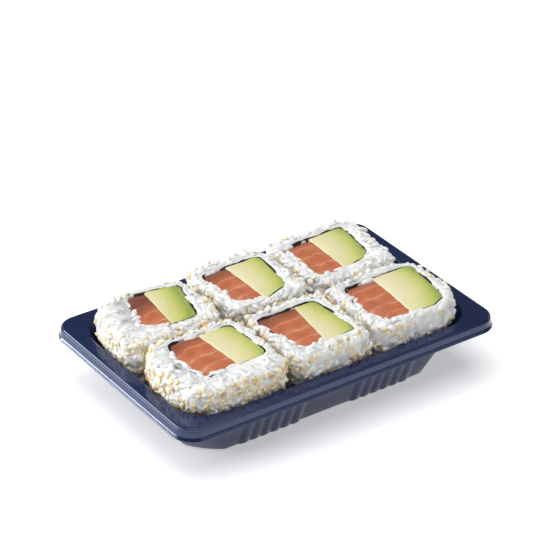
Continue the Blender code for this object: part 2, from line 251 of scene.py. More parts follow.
FLOOR_GLOW = 0.40
FAT_PITCH = 7.0
THIN_FAT_PITCH = 1.9
FAT_WAVE = 10.0
GREEN_WAVE = 3.0
# The distance from the salmon's origin, in millimetres, at which its painted shade is full
SALMON_SHADE_REACH = 46.0
AVOCADO_REACH = 46.0

# Colours, as places on a ramp with the colour there
NAVY_TINTS = ((0.3, (0.006, 0.012, 0.052)), (0.7, (0.009, 0.018, 0.070)))
NAVY_GLEAM = (0.72, 0.82, 1.0)
RICE_TINTS = ((0.25, (0.80, 0.785, 0.755)), (0.55, (0.885, 0.87, 0.83)), (0.8, (0.925, 0.905, 0.855)))
NORI_TINTS = ((0.3, (0.006, 0.008, 0.006)), (0.62, (0.018, 0.016, 0.010)), (0.8, (0.055, 0.030, 0.020)))
FLESH_TINTS = ((0.3, (0.42, 0.103, 0.040)), (0.5, (0.53, 0.148, 0.060)), (0.72, (0.60, 0.195, 0.085)))
FLESH_STREAK = (0.60, 0.27, 0.16)
# Painted shade: the dark brown laid over the salmon's back, where the rice and nori shade it
SALMON_PAINTED_SHADE = (0.13, 0.042, 0.032)
FAT = (0.80, 0.50, 0.37)
FAT_LINE = ((0.0, (1.0, 1.0, 1.0)), (0.04, (0.7, 0.7, 0.7)), (0.14, (0.0, 0.0, 0.0)))
THIN_FAT_LINE = ((0.0, (0.16, 0.16, 0.16)), (0.25, (0.0, 0.0, 0.0)))
FAT_PATCHES = ((0.36, (0.1, 0.1, 0.1)), (0.62, (1.0, 1.0, 1.0)))
# Where the salmon's painted shade sets in and where it is full, as shares of its reach
PAINTED_SHADE_RAMP = ((0.82, (0.0, 0.0, 0.0)), (1.0, (1.0, 1.0, 1.0)))
AVOCADO_TINTS = ((0.62, (0.83, 0.75, 0.50)), (0.70, (0.77, 0.70, 0.41)), (0.80, (0.70, 0.65, 0.32)),
                 (0.87, (0.59, 0.59, 0.17)), (0.935, (0.42, 0.47, 0.075)), (0.99, (0.24, 0.32, 0.03)))
AVOCADO_MOTTLE = (0.84, 0.80, 0.52)
PALE_SEED = ((0.3, (0.72, 0.53, 0.27)), (0.5, (0.86, 0.72, 0.46)), (0.72, (0.91, 0.81, 0.60)))
TOASTED_SEED = ((0.3, (0.46, 0.24, 0.10)), (0.5, (0.68, 0.44, 0.21)), (0.72, (0.80, 0.60, 0.36)))
FLOOR_TINTS = ((0.4, (0.88, 0.88, 0.88)), (0.6, (0.90, 0.90, 0.90)))
LIGHT_SPREAD = {"rice": (1.0, 0.85, 0.7), "salmon": (1.0, 0.45, 0.25), "avocado": (1.0, 1.0, 0.4)}


class Finish:
    """A material with a Principled shader and short calls for the nodes that feed it."""

    def __init__(self, name, roughness, **constants):
        self.material = bpy.data.materials.new(name)
        self.material.use_nodes = True
        self.tree = self.material.node_tree
        self.shader = self.tree.nodes["Principled BSDF"]
        self.shader.inputs["Roughness"].default_value = roughness
        for socket, value in constants.items():
            self.shader.inputs[socket.replace("_", " ")].default_value = value

    def node(self, kind, links=None, **settings):
        node = self.tree.nodes.new(kind)
        for key, value in settings.items():
            if hasattr(node, key):
                setattr(node, key, value)
            else:
                node.inputs[key.replace("_", " ")].default_value = value
        for socket, source in (links or {}).items():
            self.tree.links.new(source, node.inputs[socket])
        return node

    def place(self):
        return self.node("ShaderNodeTexCoord").outputs["Object"]

    def reach(self):
        """The distance from the piece's own upright axis, in metres."""
        split = self.node("ShaderNodeSeparateXYZ", {"Vector": self.place()})
        flat = self.node("ShaderNodeCombineXYZ", {"X": split.outputs["X"], "Y": split.outputs["Y"]})
        length = self.node("ShaderNodeVectorMath", {0: flat.outputs["Vector"]}, operation="LENGTH")
        return length.outputs["Value"]

    def noise(self, scale, detail, roughness=0.5, place=None):
        """Noise whose scale is the number of blobs in a metre."""
        node = self.node("ShaderNodeTexNoise", {"Vector": place or self.place()}, Scale=scale, Detail=detail,
                         Roughness=roughness)
        return node.outputs["Fac"]

    def wavy(self, value, scale, detail, swing):
        """A distance with a slow wave of the given swing in it, in metres."""
        wobble = self.math("MULTIPLY", self.math("SUBTRACT", self.noise(scale, detail), 0.5), swing)
        return self.math("ADD", value, wobble)

    def off_line(self, value, pitch):
        """How far a distance lies from the nearest of evenly spaced lines, as a share of their pitch."""
        share = self.math("FRACT", self.math("DIVIDE", value, pitch))
        return self.math("ABSOLUTE", self.math("SUBTRACT", share, 0.5))

    def ramp(self, value, stops):
        node = self.node("ShaderNodeValToRGB", {"Fac": value})
        ramp = node.color_ramp
        while len(ramp.elements) < len(stops):
            ramp.elements.new(0.5)
        for element, (position, colour) in zip(ramp.elements, stops):
            element.position = position
            element.color = (*colour, 1.0)
        return node.outputs["Color"]

    def math(self, operation, first, second=None):
        node = self.node("ShaderNodeMath", operation=operation)
        for index, value in enumerate((first, second)):
            if value is None:
                continue
            if isinstance(value, (int, float)):
                node.inputs[index].default_value = value
            else:
                self.tree.links.new(value, node.inputs[index])
        return node.outputs["Value"]

    def blend(self, share, first, second):
        node = self.node("ShaderNodeMix", data_type="RGBA")
        for socket, value in zip(MIX_SOCKETS, (share, first, second)):
            if isinstance(value, (int, float)):
                node.inputs[socket].default_value = value
            elif isinstance(value, tuple):
                node.inputs[socket].default_value = (*value, 1.0)
            else:
                self.tree.links.new(value, node.inputs[socket])
        return node.outputs[MIX_RESULT]

    def colour(self, source):
        self.tree.links.new(source, self.shader.inputs["Base Color"])

    def roughness(self, source, low, high):
        node = self.node("ShaderNodeMapRange", {"Value": source}, To_Min=low, To_Max=high)
        self.tree.links.new(node.outputs["Result"], self.shader.inputs["Roughness"])

    def bump(self, height, distance):
        """Small relief; distance is in millimetres."""
        node = self.node("ShaderNodeBump", {"Height": height}, Distance=distance * MM, Strength=1.0)
        self.tree.links.new(node.outputs["Normal"], self.shader.inputs["Normal"])


def navy_finish():
    finish = Finish("navy_plastic", 0.14, IOR=1.68)
    finish.shader.inputs["Specular Tint"].default_value = (*NAVY_GLEAM, 1.0)
    finish.colour(finish.ramp(finish.noise(30, 3), NAVY_TINTS))
    finish.roughness(finish.noise(90, 4), 0.11, 0.22)
    finish.bump(finish.noise(55, 2), 0.25)
    return finish.material


def food_finish(name, roughness, **constants):
    """A moist, slightly see-through finish."""
    finish = Finish(name, roughness, Coat_Roughness=0.25, **constants)
    finish.shader.inputs["Subsurface Radius"].default_value = LIGHT_SPREAD[name]
    return finish


def rice_finish():
    finish = food_finish("rice", 0.42, IOR=1.4, Coat_Weight=0.1, Subsurface_Weight=0.3,
                         Subsurface_Scale=0.0010)
    finish.colour(finish.ramp(finish.noise(260, 2), RICE_TINTS))
    finish.roughness(finish.noise(500, 3), 0.3, 0.55)
    finish.bump(finish.noise(1100, 3), 0.08)
    return finish.material


def nori_finish():
    finish = Finish("nori", 0.5, IOR=1.4)
    finish.colour(finish.ramp(finish.noise(420, 4, 0.6), NORI_TINTS))
    finish.bump(finish.noise(900, 4), 0.15)
    return finish.material


def salmon_finish():
    """Orange flesh with pale arcs of fat round the piece's own origin, and painted shade that darkens it far
    from that origin, towards the back of the roll where the rice shades it.
    """
    finish = food_finish("salmon", 0.4, IOR=1.36, Coat_Weight=0.1, Subsurface_Weight=0.2,
                         Subsurface_Scale=0.0015)
    waved = finish.wavy(finish.reach(), 60, 2, FAT_WAVE * MM)
    line = finish.ramp(finish.off_line(waved, FAT_PITCH * MM), FAT_LINE)
    thin = finish.ramp(finish.off_line(waved, THIN_FAT_PITCH * MM), THIN_FAT_LINE)
    patchy = finish.ramp(finish.noise(130, 2), FAT_PATCHES)
    fat = finish.math("MULTIPLY", finish.math("MAXIMUM", line, thin), patchy)
    upright = finish.node("ShaderNodeMapping", {"Vector": finish.place()}, Scale=(1.0, 1.0, 0.2))
    streaks = finish.noise(900, 3, 0.6, place=upright.outputs["Vector"])
    flesh = finish.ramp(finish.noise(120, 3), FLESH_TINTS)
    flesh = finish.blend(finish.math("MULTIPLY", streaks, 0.2), flesh, FLESH_STREAK)
    flesh = finish.blend(finish.math("MULTIPLY", fat, 0.6), flesh, FAT)
    # Painted shade: the salmon darkens towards its back, far from its origin
    shade = finish.ramp(finish.math("DIVIDE", waved, SALMON_SHADE_REACH * MM), PAINTED_SHADE_RAMP)
    finish.colour(finish.blend(finish.math("MULTIPLY", shade, 0.8), flesh, SALMON_PAINTED_SHADE))
    finish.bump(finish.math("ADD", finish.math("MULTIPLY", fat, 0.5), finish.noise(700, 3)), 0.14)
    return finish.material


def avocado_finish():
    """Cream flesh that turns green with the distance from the piece's own origin."""
    finish = food_finish("avocado", 0.4, IOR=1.4, Coat_Weight=0.15, Subsurface_Weight=0.2,
                         Subsurface_Scale=0.0015)
    waved = finish.wavy(finish.reach(), 110, 3, GREEN_WAVE * MM)
    tint = finish.ramp(finish.math("DIVIDE", waved, AVOCADO_REACH * MM), AVOCADO_TINTS)
    finish.colour(finish.blend(finish.math("MULTIPLY", finish.noise(420, 3), 0.22), tint, AVOCADO_MOTTLE))
    finish.bump(finish.noise(500, 3), 0.1)
    return finish.material


def seed_finish(name, tints):
    finish = Finish(name, 0.4, IOR=1.45, Subsurface_Weight=0.1, Subsurface_Scale=0.0008)
    finish.colour(finish.ramp(finish.noise(330, 2), tints))
    finish.bump(finish.noise(1500, 2), 0.05)
    return finish.material


def floor_finish():
    finish = Finish("floor", 0.9, Specular_IOR_Level=0.0)
    finish.colour(finish.ramp(finish.noise(3, 2), FLOOR_TINTS))
    finish.shader.inputs["Emission Color"].default_value = (1.0, 1.0, 1.0, 1.0)
    finish.shader.inputs["Emission Strength"].default_value = FLOOR_GLOW
    return finish.material


# The tray

CORNER_STEPS = 14
LONG_SIDE_REACH = 46.8
SHORT_SIDE_REACH = 17.2
SIDE_STEP = 0.65
FLUTE_POWER = 0.6
RIM_EDGE_STEPS = 4
WALL_TOP = TRAY_HEIGHT - 1.8
FLOOR_BAND = 6.0

# The skin's section in order: (inset, lift) under the foot, (inset, height) round the foot and on the floor,
# (grow, drop) at the opening and (flare, drop) round the rim
UNDER_FOOT = ((FOOT_WIDTH + 2.4, FOOT_HEIGHT), (FOOT_WIDTH + 1.6, FOOT_HEIGHT), (FOOT_WIDTH + 0.3, 0.25),
              (FOOT_WIDTH, 0.0))
FOOT_ROUNDING = ((1.4, 0.0), (0.9, 0.05), (0.4, 0.3), (0.1, 0.75), (0.0, 1.3))
WALL_LEVELS = (6.0, 12.0, 17.0, RIB_TOP, 20.9, 21.6, 22.2, 22.8, 23.5, 25.0)
UNDER_FLANGE = ((1.3, SHEET + 0.35), (1.9, SHEET + 0.08), (2.5, SHEET))
SKIRT_INSIDE = ((-SHEET - 0.5, SHEET), (-SHEET - 0.1, SHEET + 0.15), (-SHEET, SHEET + 0.5),
                (SKIRT_FLARE - SHEET, SKIRT_DROP), (LIP_FLARE - SHEET, LIP_DROP))
LIP = ((LIP_FLARE - 0.25, LIP_DROP), (LIP_FLARE, LIP_DROP - 0.12), (LIP_FLARE, LIP_DROP - 0.45), (1.0, 4.3),
       (0.72, 3.85), (0.5, 3.5))
SKIRT_OUTSIDE = ((SKIRT_FLARE, SKIRT_DROP - 0.1), (SKIRT_FLARE - 0.05, 2.7), (0.12, 0.95))
RIM_EDGE = ((0.05, 0.6), (-0.6, 0.0))
FLANGE_START = (-1.2, 0.0)
MOUTH = ((1.4, 0.0), (0.9, 0.02), (0.45, 0.15), (0.15, 0.45), (0.0, 0.9))
FLOOR_ROUNDING = ((SHEET, FLOOR_TOP + 1.2), (SHEET + 0.35, FLOOR_TOP + 0.35), (SHEET + 1.2, FLOOR_TOP))


def flute(along, side_is_long):
    """How far a wall's flutes stand out at a place along its side, from 0 to 1."""
    if side_is_long:
        along = abs(along) - CENTRE_PANEL_HALF
    else:
        along = along + RIBS_IN_GROUP * RIB_PITCH / 2
    if not 0 < along < RIBS_IN_GROUP * RIB_PITCH:
        return 0.0
    share = (along / RIB_PITCH) % 1.0
    return math.sin(math.pi * share) ** FLUTE_POWER


def side_places(reach):
    count = int(round(2 * reach / SIDE_STEP))
    return [-reach + 2 * reach * k / count for k in range(count + 1)]


def tray_ring(half, corner, power, height, ribs=0.0):
    """A rounded rectangle, counter-clockwise from +X, with flutes along its sides."""
    points = []
    for quadrant in range(4):
        sign_x, sign_y = ((1, 1), (-1, 1), (-1, -1), (1, -1))[quadrant]
        for step in range(CORNER_STEPS + 1):
            angle = math.pi / 2 * step / CORNER_STEPS
            if quadrant % 2:
                angle = math.pi / 2 - angle
            across = corner * math.cos(angle) ** (2 / power)
            along = corner * math.sin(angle) ** (2 / power)
            points.append((sign_x * (half[0] - corner + across), sign_y * (half[1] - corner + along), height))
        side_is_long = quadrant % 2 == 0
        places = side_places(LONG_SIDE_REACH if side_is_long else SHORT_SIDE_REACH)
        if quadrant < 2:
            places = places[::-1]
        for place in places:
            out = RIB_DEPTH * ribs * flute(place, side_is_long)
            if side_is_long:
                side = 1 if quadrant == 0 else -1
                points.append((place, side * (half[1] + out), height))
            else:
                side = -1 if quadrant == 1 else 1
                points.append((side * (half[0] + out), place, height))
    return points


def wall_ring(height, inset, ribs, lift=0.0):
    share = height / TRAY_HEIGHT
    half = tuple(mix(low, high + WALL_SHEET, share) - inset for low, high in zip(BASE_HALF, OPENING_HALF))
    corner = mix(BASE_CORNER, OPENING_CORNER, share)
    return tray_ring(half, corner, mix(BASE_CORNER_POWER, 2.0, share), height + lift, ribs)


def rim_ring(flare, drop):
    half = (FLANGE_HALF[0] + flare, FLANGE_HALF[1] + flare)
    return tray_ring(half, FLANGE_CORNER + flare, 2.0, TRAY_HEIGHT - drop)


def opening_ring(grow, drop):
    half = (OPENING_HALF[0] + grow, OPENING_HALF[1] + grow)
    return tray_ring(half, OPENING_CORNER + grow, 2.0, TRAY_HEIGHT - drop)


def arc(start, end, steps):
    """Points of a quarter turn between two profile points, bulging towards the first's direction."""
    points = []
    for step in range(steps + 1):
        angle = math.pi / 2 * step / steps
        points.append((mix(start[0], end[0], math.sin(angle)), mix(start[1], end[1], 1 - math.cos(angle))))
    return points


def rib_strength(height):
    return 1.0 - smooth_step(RIB_TOP, RIB_TOP + RIB_FADE, height)


def build_tray():
    """One skin: under the floor, out over the foot, up the fluted wall, round the rim and down inside."""
    rings = [wall_ring(0.0, inset, 0.0, lift) for inset, lift in UNDER_FOOT]
    rings += [wall_ring(height, inset, 1.0) for inset, height in FOOT_ROUNDING]
    rings += [wall_ring(height, 0.0, rib_strength(height)) for height in (*WALL_LEVELS, WALL_TOP)]
    rings += [opening_ring(grow, drop) for grow, drop in UNDER_FLANGE]
    round_rim = (*SKIRT_INSIDE, *LIP, *SKIRT_OUTSIDE, *arc(*RIM_EDGE, RIM_EDGE_STEPS), FLANGE_START)
    rings += [rim_ring(flare, drop) for flare, drop in round_rim]
    rings += [opening_ring(grow, drop) for grow, drop in MOUTH]
    rings.append(wall_ring(WALL_TOP, SHEET, 0.0))
    rings += [wall_ring(height, SHEET, rib_strength(height)) for height in reversed(WALL_LEVELS)]
    rings += [wall_ring(height, inset, 1.0) for inset, height in FLOOR_ROUNDING]
    rings.append(wall_ring(FLOOR_TOP, SHEET + FLOOR_BAND, 0.0))
    mesh = skin_from_rings("tray_shell", rings)
    return add_piece("tray_shell", mesh, navy_finish(), "tray", slot="tray_plastic")


# Rice

RICE_LOW = 17.0
TOP_BAND = 1.5
UPRIGHT = 0.3
FACING_UP = 0.5
CORE_IN = 0.3
CORE_OUT = 0.45
GRAINS_PER_ROLL = 620
GRAIN_SPACING = 2.3
GRAIN_SIZES = (0.86, 1.1)
GRAIN_SINK = (0.9, 1.65)
GRAIN_TILT = 0.14
GRAIN_RISE = 1.0
BARE_EDGE = 1.2
SPOT_TRIES = 12
WALL_REACH = 1.2
WALL_REACH_START = (18.0, 22.0)
WALL_REACH_END = (28.5, 32.0)
WALL_REACH_FADE = (4.0, 6.0)

# The side of a filling that grains lean over, how far from its middle that starts, and the slack at the split
NEAR_SIDE = (-0.6, -0.8)
NEAR_SIDE_START = 3.0
SPLIT_SLACK = 1.0

# The row of grains along the filling's edge: on the near side they lean over it, elsewhere they stand back
FRINGE_SIZES = (0.8, 1.05)
FRINGE_TILT = 0.1
LEAN_OVER = (-0.5, 1.7)
LEAN_SINK = (0.5, 1.1)
STAND_BACK = (1.1, 2.4)
BACK_SINK = (0.9, 1.3)
CROWDING = 2.4

# How much a grain strays from the direction of the filling's edge
FRINGE_STRAY = 0.9
NEAR_STRAY = 1.3
FAR_STRAY = 0.3


def kernel(segments, rings, power, bend, taper=0.0):
    """A kernel one unit long, wide and thick, along X, blunt at its ends and slightly bent, in triangles."""
    verts = [(0.5, 0.0, bend)]
    for ring in range(1, rings):
        place = math.cos(math.pi * ring / rings)
        girth = (1 - abs(place) ** power) ** 0.5 * (1 - taper * place)
        for k in range(segments):
            angle = 2 * math.pi * k / segments
            rise = bend * place * place
            verts.append((place / 2, girth * math.cos(angle) / 2, girth * math.sin(angle) / 2 + rise))
    verts.append((-0.5, 0.0, bend))
    last = len(verts) - 1
    faces = []
    for k in range(segments):
        nxt = (k + 1) % segments
        faces.append((0, 1 + k, 1 + nxt))
        faces.append((last, last - segments + nxt, last - segments + k))
        for ring in range(rings - 2):
            here = 1 + ring * segments
            faces.append((here + k, here + segments + k, here + segments + nxt))
            faces.append((here + k, here + segments + nxt, here + nxt))
    return np.array(verts), np.array(faces)


def joined_copies(prototype, matrices):
    """Copies of a prototype, moved by each matrix, as one set of points and faces."""
    verts, faces = prototype
    moves = np.array([[list(row) for row in matrix] for matrix in matrices])
    placed = np.einsum("nij,vj->nvi", moves[:, :3, :3], verts) + moves[:, None, :3, 3]
    offsets = np.arange(len(matrices))[:, None, None] * len(verts)
    return placed.reshape(-1, 3), (faces[None] + offsets).reshape(-1, faces.shape[1])


def surface_spots(mesh, count, spacing, draw, wanted):
    """Random places on a mesh at least a spacing apart, where wanted(place, normal) says so."""
    mesh.calc_loop_triangles()
    corners = np.array([[tuple(mesh.vertices[v].co) for v in tri.vertices] for tri in mesh.loop_triangles])
    sides = np.cross(corners[:, 1] - corners[:, 0], corners[:, 2] - corners[:, 0])
    areas = np.linalg.norm(sides, axis=1) / 2
    normals = sides / np.maximum(areas[:, None] * 2, 1e-15)
    generator = np.random.default_rng(draw)
    chosen = generator.choice(len(areas), size=count * SPOT_TRIES, p=areas / areas.sum())
    u, v = generator.random((2, len(chosen)))
    flip = u + v > 1
    u[flip] = 1 - u[flip]
    v[flip] = 1 - v[flip]
    tri = corners[chosen]
    places = tri[:, 0] + u[:, None] * (tri[:, 1] - tri[:, 0]) + v[:, None] * (tri[:, 2] - tri[:, 0])
    kept = []
    kept_normals = []
    taken = np.empty((0, 3))
    for place, normal in zip(places, normals[chosen]):
        if len(kept) >= count:
            break
        if len(taken) and (((taken - place) ** 2).sum(1) < spacing * spacing).any():
            continue
        if wanted(place / MM, normal):
            kept.append(place)
            kept_normals.append(normal)
            taken = np.array(kept)
    return kept, kept_normals


def lying(place, normal, along, size, tilt, sink):
    """The matrix of a kernel that lies along a direction on a surface, sunk by a depth in millimetres."""
    normal = Vector(normal)
    side = normal.cross(along).normalized()
    lay = Matrix((side.cross(normal), side, normal)).transposed().to_4x4()
    scale = Matrix.Diagonal((size[0] * MM, size[1] * MM, size[2] * MM, 1.0))
    move = Matrix.Translation(Vector(place) - normal * sink * MM)
    return move @ lay @ Matrix.Rotation(tilt, 4, "Y") @ scale


def anywhere(draw):
    """A random direction."""
    return Vector([draw.gauss(0, 1) for _ in range(3)]).normalized()


def rice_core(key):
    """The node's solid, drawn in at its skin and let out towards the filling, as points and faces."""
    middle = middle_of(evenly(rounded(FILLING_CORNERS[key], FILLING_CORNER), OUTLINE_STEPS))
    bm = bmesh.new()
    bm.from_mesh(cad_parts["rice_" + key].data)
    bmesh.ops.remove_doubles(bm, verts=bm.verts, dist=0.01 * MM)
    bm.normal_update()
    for vert in bm.verts:
        to_middle = (middle * MM - vert.co.xy).normalized()
        faces_hole = vert.normal.xy.dot(to_middle) > 0.5
        vert.co += vert.normal * (CORE_OUT if faces_hole else reach_to_wall(vert.co / MM) - CORE_IN) * MM
    bmesh.ops.triangulate(bm, faces=bm.faces)
    verts = np.array([tuple(v.co) for v in bm.verts])
    faces = np.array([[v.index for v in f.verts] for f in bm.faces])
    bm.free()
    return verts, faces


def on_near_side(place, key, middle):
    """Whether a place is on the salmon's near side, where the grains lean over the fish."""
    near = (Vector(place[:2]) - middle).dot(Vector(NEAR_SIDE)) > NEAR_SIDE_START
    return near and place[0] < SPLITS[key][1][0] + SPLIT_SLACK


def skin_grains(key, draw, hole):
    """Grains on a roll's outside and on its cut face, as matrices."""
    top = ROLL_TOP - CUT_LOWER[key]
    middle = middle_of(hole)

    def wanted(place, normal):
        inward = np.dot(place[:2] - np.array(middle), normal[:2]) < 0
        if inward and abs(normal[2]) < UPRIGHT or normal[2] < -UPRIGHT or place[2] < RICE_LOW:
            return False
        on_top = place[2] > top - TOP_BAND and normal[2] > FACING_UP
        bare = BARE_EDGE * (0.5 + 1.3 * noise.noise(Vector(place) / 4.0))
        return not on_top or on_near_side(place, key, middle) or nearest_on(hole, place)[0] > bare

    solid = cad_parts["rice_" + key].data
    spots = surface_spots(solid, GRAINS_PER_ROLL, GRAIN_SPACING * MM, GRAIN_START + int(key), wanted)
    matrices = []
    for place, normal in zip(*spots):
        size = [side * draw.uniform(*GRAIN_SIZES) for side in GRAIN]
        along = anywhere(draw)
        gap, tangent = nearest_on(hole, place / MM)
        if place[2] / MM > top - TOP_BAND and gap < GRAIN[0] / 2:
            stray = NEAR_STRAY if on_near_side(place / MM, key, middle) else FAR_STRAY
            along = Vector((*tangent, 0.0)) + along * stray
        sink = draw.uniform(*GRAIN_SINK) - reach_to_wall(place / MM)
        matrices.append(lying(place, normal, along, size, draw.uniform(-GRAIN_TILT, GRAIN_TILT), sink))
    return matrices


def fringe_grains(key, draw, hole):
    """The row of grains along the filling's edge, as matrices."""
    top = ROLL_TOP - CUT_LOWER[key]
    middle = middle_of(hole)
    matrices = []
    for point in hole[::2]:
        near = on_near_side(point, key, middle)
        size = [side * draw.uniform(*FRINGE_SIZES) for side in GRAIN]
        shift = draw.uniform(*LEAN_OVER) if near else crowding(point, key) - draw.uniform(*STAND_BACK)
        tangent = nearest_on(hole, point)[1]
        along = Vector((*tangent, 0.0)) + anywhere(draw) * (FRINGE_STRAY if near else FAR_STRAY)
        place = Vector((*(point + (middle - point).normalized() * shift), top)) * MM
        sink = draw.uniform(*(LEAN_SINK if near else BACK_SINK))
        matrices.append(lying(place, (0, 0, 1), along, size, draw.uniform(-FRINGE_TILT, FRINGE_TILT), sink))
    return matrices


def rice_mesh(key):
    """The roll's solid with hundreds of whole grains pressed into it, none of them higher than GRAIN_RISE."""
    draw = random.Random(GRAIN_START + int(key))
    hole = filling_outline(key, NODE_GAP + NORI)
    shape = kernel(10, 7, 2.6, 0.06)
    highest = (ROLL_TOP - CUT_LOWER[key] + GRAIN_RISE) * MM
    matrices = []
    for matrix in skin_grains(key, draw, hole) + fringe_grains(key, draw, hole):
        high = max((matrix @ Vector(vert)).z for vert in shape[0])
        matrices.append(Matrix.Translation((0.0, 0.0, min(highest - high, 0.0))) @ matrix)
    core_verts, core_faces = rice_core(key)
    grain_verts, grain_faces = joined_copies(shape, matrices)
    verts = np.concatenate([core_verts, grain_verts])
    faces = np.concatenate([core_faces, grain_faces + len(core_verts)])
    return mesh_from_arrays("rice_" + key, verts, faces)


def crowding(point, key):
    """How far the grains on the far sides of the filling lean over it, where the nori sinks under them."""
    return CROWDING * smooth_step(0.1, 0.7, -folded(point, key))


def reach_to_wall(place):
    """How far the rice stands out to lean on the edge of the tray's opening, in millimetres."""
    across = -place[0] - OPENING_HALF[0] + OPENING_CORNER
    along = -place[1] - OPENING_HALF[1] + OPENING_CORNER
    gap = OPENING_CORNER - (math.hypot(across, along) if min(across, along) > 0 else max(across, along))
    level = smooth_step(*WALL_REACH_START, place[2]) * (1 - smooth_step(*WALL_REACH_END, place[2]))
    return min(max(gap, 0.0), WALL_REACH) * level * (1 - smooth_step(*WALL_REACH_FADE, gap))


def nearest_on(outline, place):
    """The distance to an outline's nearest point, and the outline's direction there."""
    gaps = [(Vector(place[:2]) - point).length for point in outline]
    index = gaps.index(min(gaps))
    return gaps[index], (outline[(index + 1) % len(outline)] - outline[index - 1]).normalized()


def build_rice():
    material = rice_finish()
    pieces = {}
    for key in FILLING_CORNERS:
        name = "rice_grains_" + key
        pieces[key] = add_piece(name, rice_mesh(key), material, "rice_" + key, slot="rice")
    return pieces


# Seeds and flecks

SEEDS_LOW = 20.0
SEEDS_HIGH = 0.6
SEED_SIDE_SLOPE = 0.75
SEED_TOP_SLOPE = 0.7
SEED_TOP_BAND = 1.2
FLECK_BAND = 4.0
SEED_SPACING = 1.5
TOP_SEED_SPACING = 4.0
SEED_SIZES = (0.85, 1.12)
SEED_TILT = 0.3
SEED_LIFT = 0.1
FLECKS_PER_ROLL = 9
FLECK_SPACING = 4.0
FLECK_SIZES = (0.5, 1.1)
FLECK_TILT = 0.4
FLECK_LIFT = 0.02
SEAT_FROM = 3.0
SEAT_REACH = 5.0

# The share of toasted seeds at the foot of a roll's visible side and at its top
TOASTED_LOW = 0.2
TOASTED_HIGH = 0.06

# Seeds lie where the cluster noise is above this edge; the front left roll has the widest clusters
CLUSTER_EDGE = -0.1
CLUSTER_EDGES = {"4": -0.28}


def seated(mesh, spots):
    """The same places moved on to the skin of a mesh, each with a normal between the skin's and its own."""
    tree = BVHTree.FromPolygons([v.co for v in mesh.vertices], [p.vertices for p in mesh.polygons])
    moved = []
    for place, normal in zip(*spots):
        normal = Vector(normal)
        start = Vector(place) + normal * SEAT_FROM * MM
        hit, skin_normal = tree.ray_cast(start, -normal, SEAT_REACH * MM)[:2]
        if hit:
            moved.append((hit, (skin_normal + normal).normalized()))
    return moved


def seed_spots(mesh, key):
    """Places for seeds: in clusters down a roll's side, a few on its top, none on its hole's wall."""
    side_count, top_count = SEED_COUNTS[key]
    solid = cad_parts["rice_" + key].data
    middle = middle_of(evenly(rounded(FILLING_CORNERS[key], FILLING_CORNER), OUTLINE_STEPS))
    top = ROLL_TOP - CUT_LOWER[key]
    edge = CLUSTER_EDGES.get(key, CLUSTER_EDGE)

    def outward(place, normal):
        return np.dot(place[:2] - np.array(middle), normal[:2]) > 0

    def on_side(place, normal):
        low_or_high = not SEEDS_LOW < place[2] < top - SEEDS_HIGH
        if low_or_high or normal[2] >= SEED_SIDE_SLOPE or not outward(place, normal):
            return False
        return noise.noise(Vector(place) / 6.0) + 0.3 * noise.noise(Vector(place) / 2.6) > edge

    def on_top(place, normal):
        return place[2] > top - SEED_TOP_BAND and normal[2] > SEED_TOP_SLOPE and outward(place, normal)

    side = surface_spots(solid, side_count, SEED_SPACING * MM, SIDE_SEED_START + int(key), on_side)
    above = surface_spots(solid, top_count, TOP_SEED_SPACING * MM, TOP_SEED_START + int(key), on_top)
    return seated(mesh, side) + seated(mesh, above)


def fleck_spots(mesh, key):
    """Places for the crumbs of nori on and near a roll's top."""
    top = ROLL_TOP - CUT_LOWER[key]

    def wanted(place, normal):
        return place[2] > top - FLECK_BAND and normal[2] > UPRIGHT

    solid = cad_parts["rice_" + key].data
    spots = surface_spots(solid, FLECKS_PER_ROLL, FLECK_SPACING * MM, FLECK_START + int(key), wanted)
    return seated(mesh, spots)


def build_seeds(rice):
    """One piece for each kind of thing that is strewn over the rice."""
    draw = random.Random(STREWN_START)
    pale = []
    toasted = []
    flecks = []
    for key, piece in rice.items():
        for place, normal in seed_spots(piece.data, key):
            size = [side * draw.uniform(*SEED_SIZES) for side in SEED]
            along = anywhere(draw)
            matrix = lying(place, normal, along, size, draw.uniform(-SEED_TILT, SEED_TILT), -SEED_LIFT)
            height = (place.z / MM - SEEDS_LOW) / (ROLL_TOP - SEEDS_LOW)
            (toasted if draw.random() < mix(TOASTED_LOW, TOASTED_HIGH, height) else pale).append(matrix)
        for place, normal in fleck_spots(piece.data, key):
            size = [side * draw.uniform(*FLECK_SIZES) for side in FLECK]
            along = anywhere(draw)
            tilt = draw.uniform(-FLECK_TILT, FLECK_TILT)
            flecks.append(lying(place, normal, along, size, tilt, -FLECK_LIFT))
    seed = kernel(8, 6, 2.0, 0.0, taper=0.28)
    crumb = kernel(6, 4, 4.0, 0.0)
    kinds = (
        ("sesame_pale", seed, pale, seed_finish("sesame_pale", PALE_SEED), "rice"),
        ("sesame_toasted", seed, toasted, seed_finish("sesame_toasted", TOASTED_SEED), "rice"),
        ("nori_flecks", crumb, flecks, nori_finish(), "nori"),
    )
    for name, shape, matrices, material, slot in kinds:
        add_piece(name, mesh_from_arrays(name, *joined_copies(shape, matrices)), material, slot=slot)


# Nori and fillings

OUTLINE_STEPS = 120
TOP_RINGS = 14
OUTLINE_BUMP = 0.35
OUTLINE_FINE = 0.2

# The nori: how deep its edge is wavy, how much it rises, sinks and thickens there, and what a fold adds
NORI_WAVY = 3.0
NORI_RIPPLE = 0.5
NORI_SUNK = 0.15
NORI_UNEVEN = 0.35
NORI_FOLD_RISE = 0.35
NORI_FOLD = 0.5

# The rounding of a filling's cut edge, as (inset, depth), and where its relief begins
CUT_ROUNDING = ((0.0, 6.0), (0.0, 2.4), (0.0, 0.8), (0.04, 0.3), (0.2, 0.08))
CUT_INSET = 0.42
RELIEF_DEPTH = 3.0

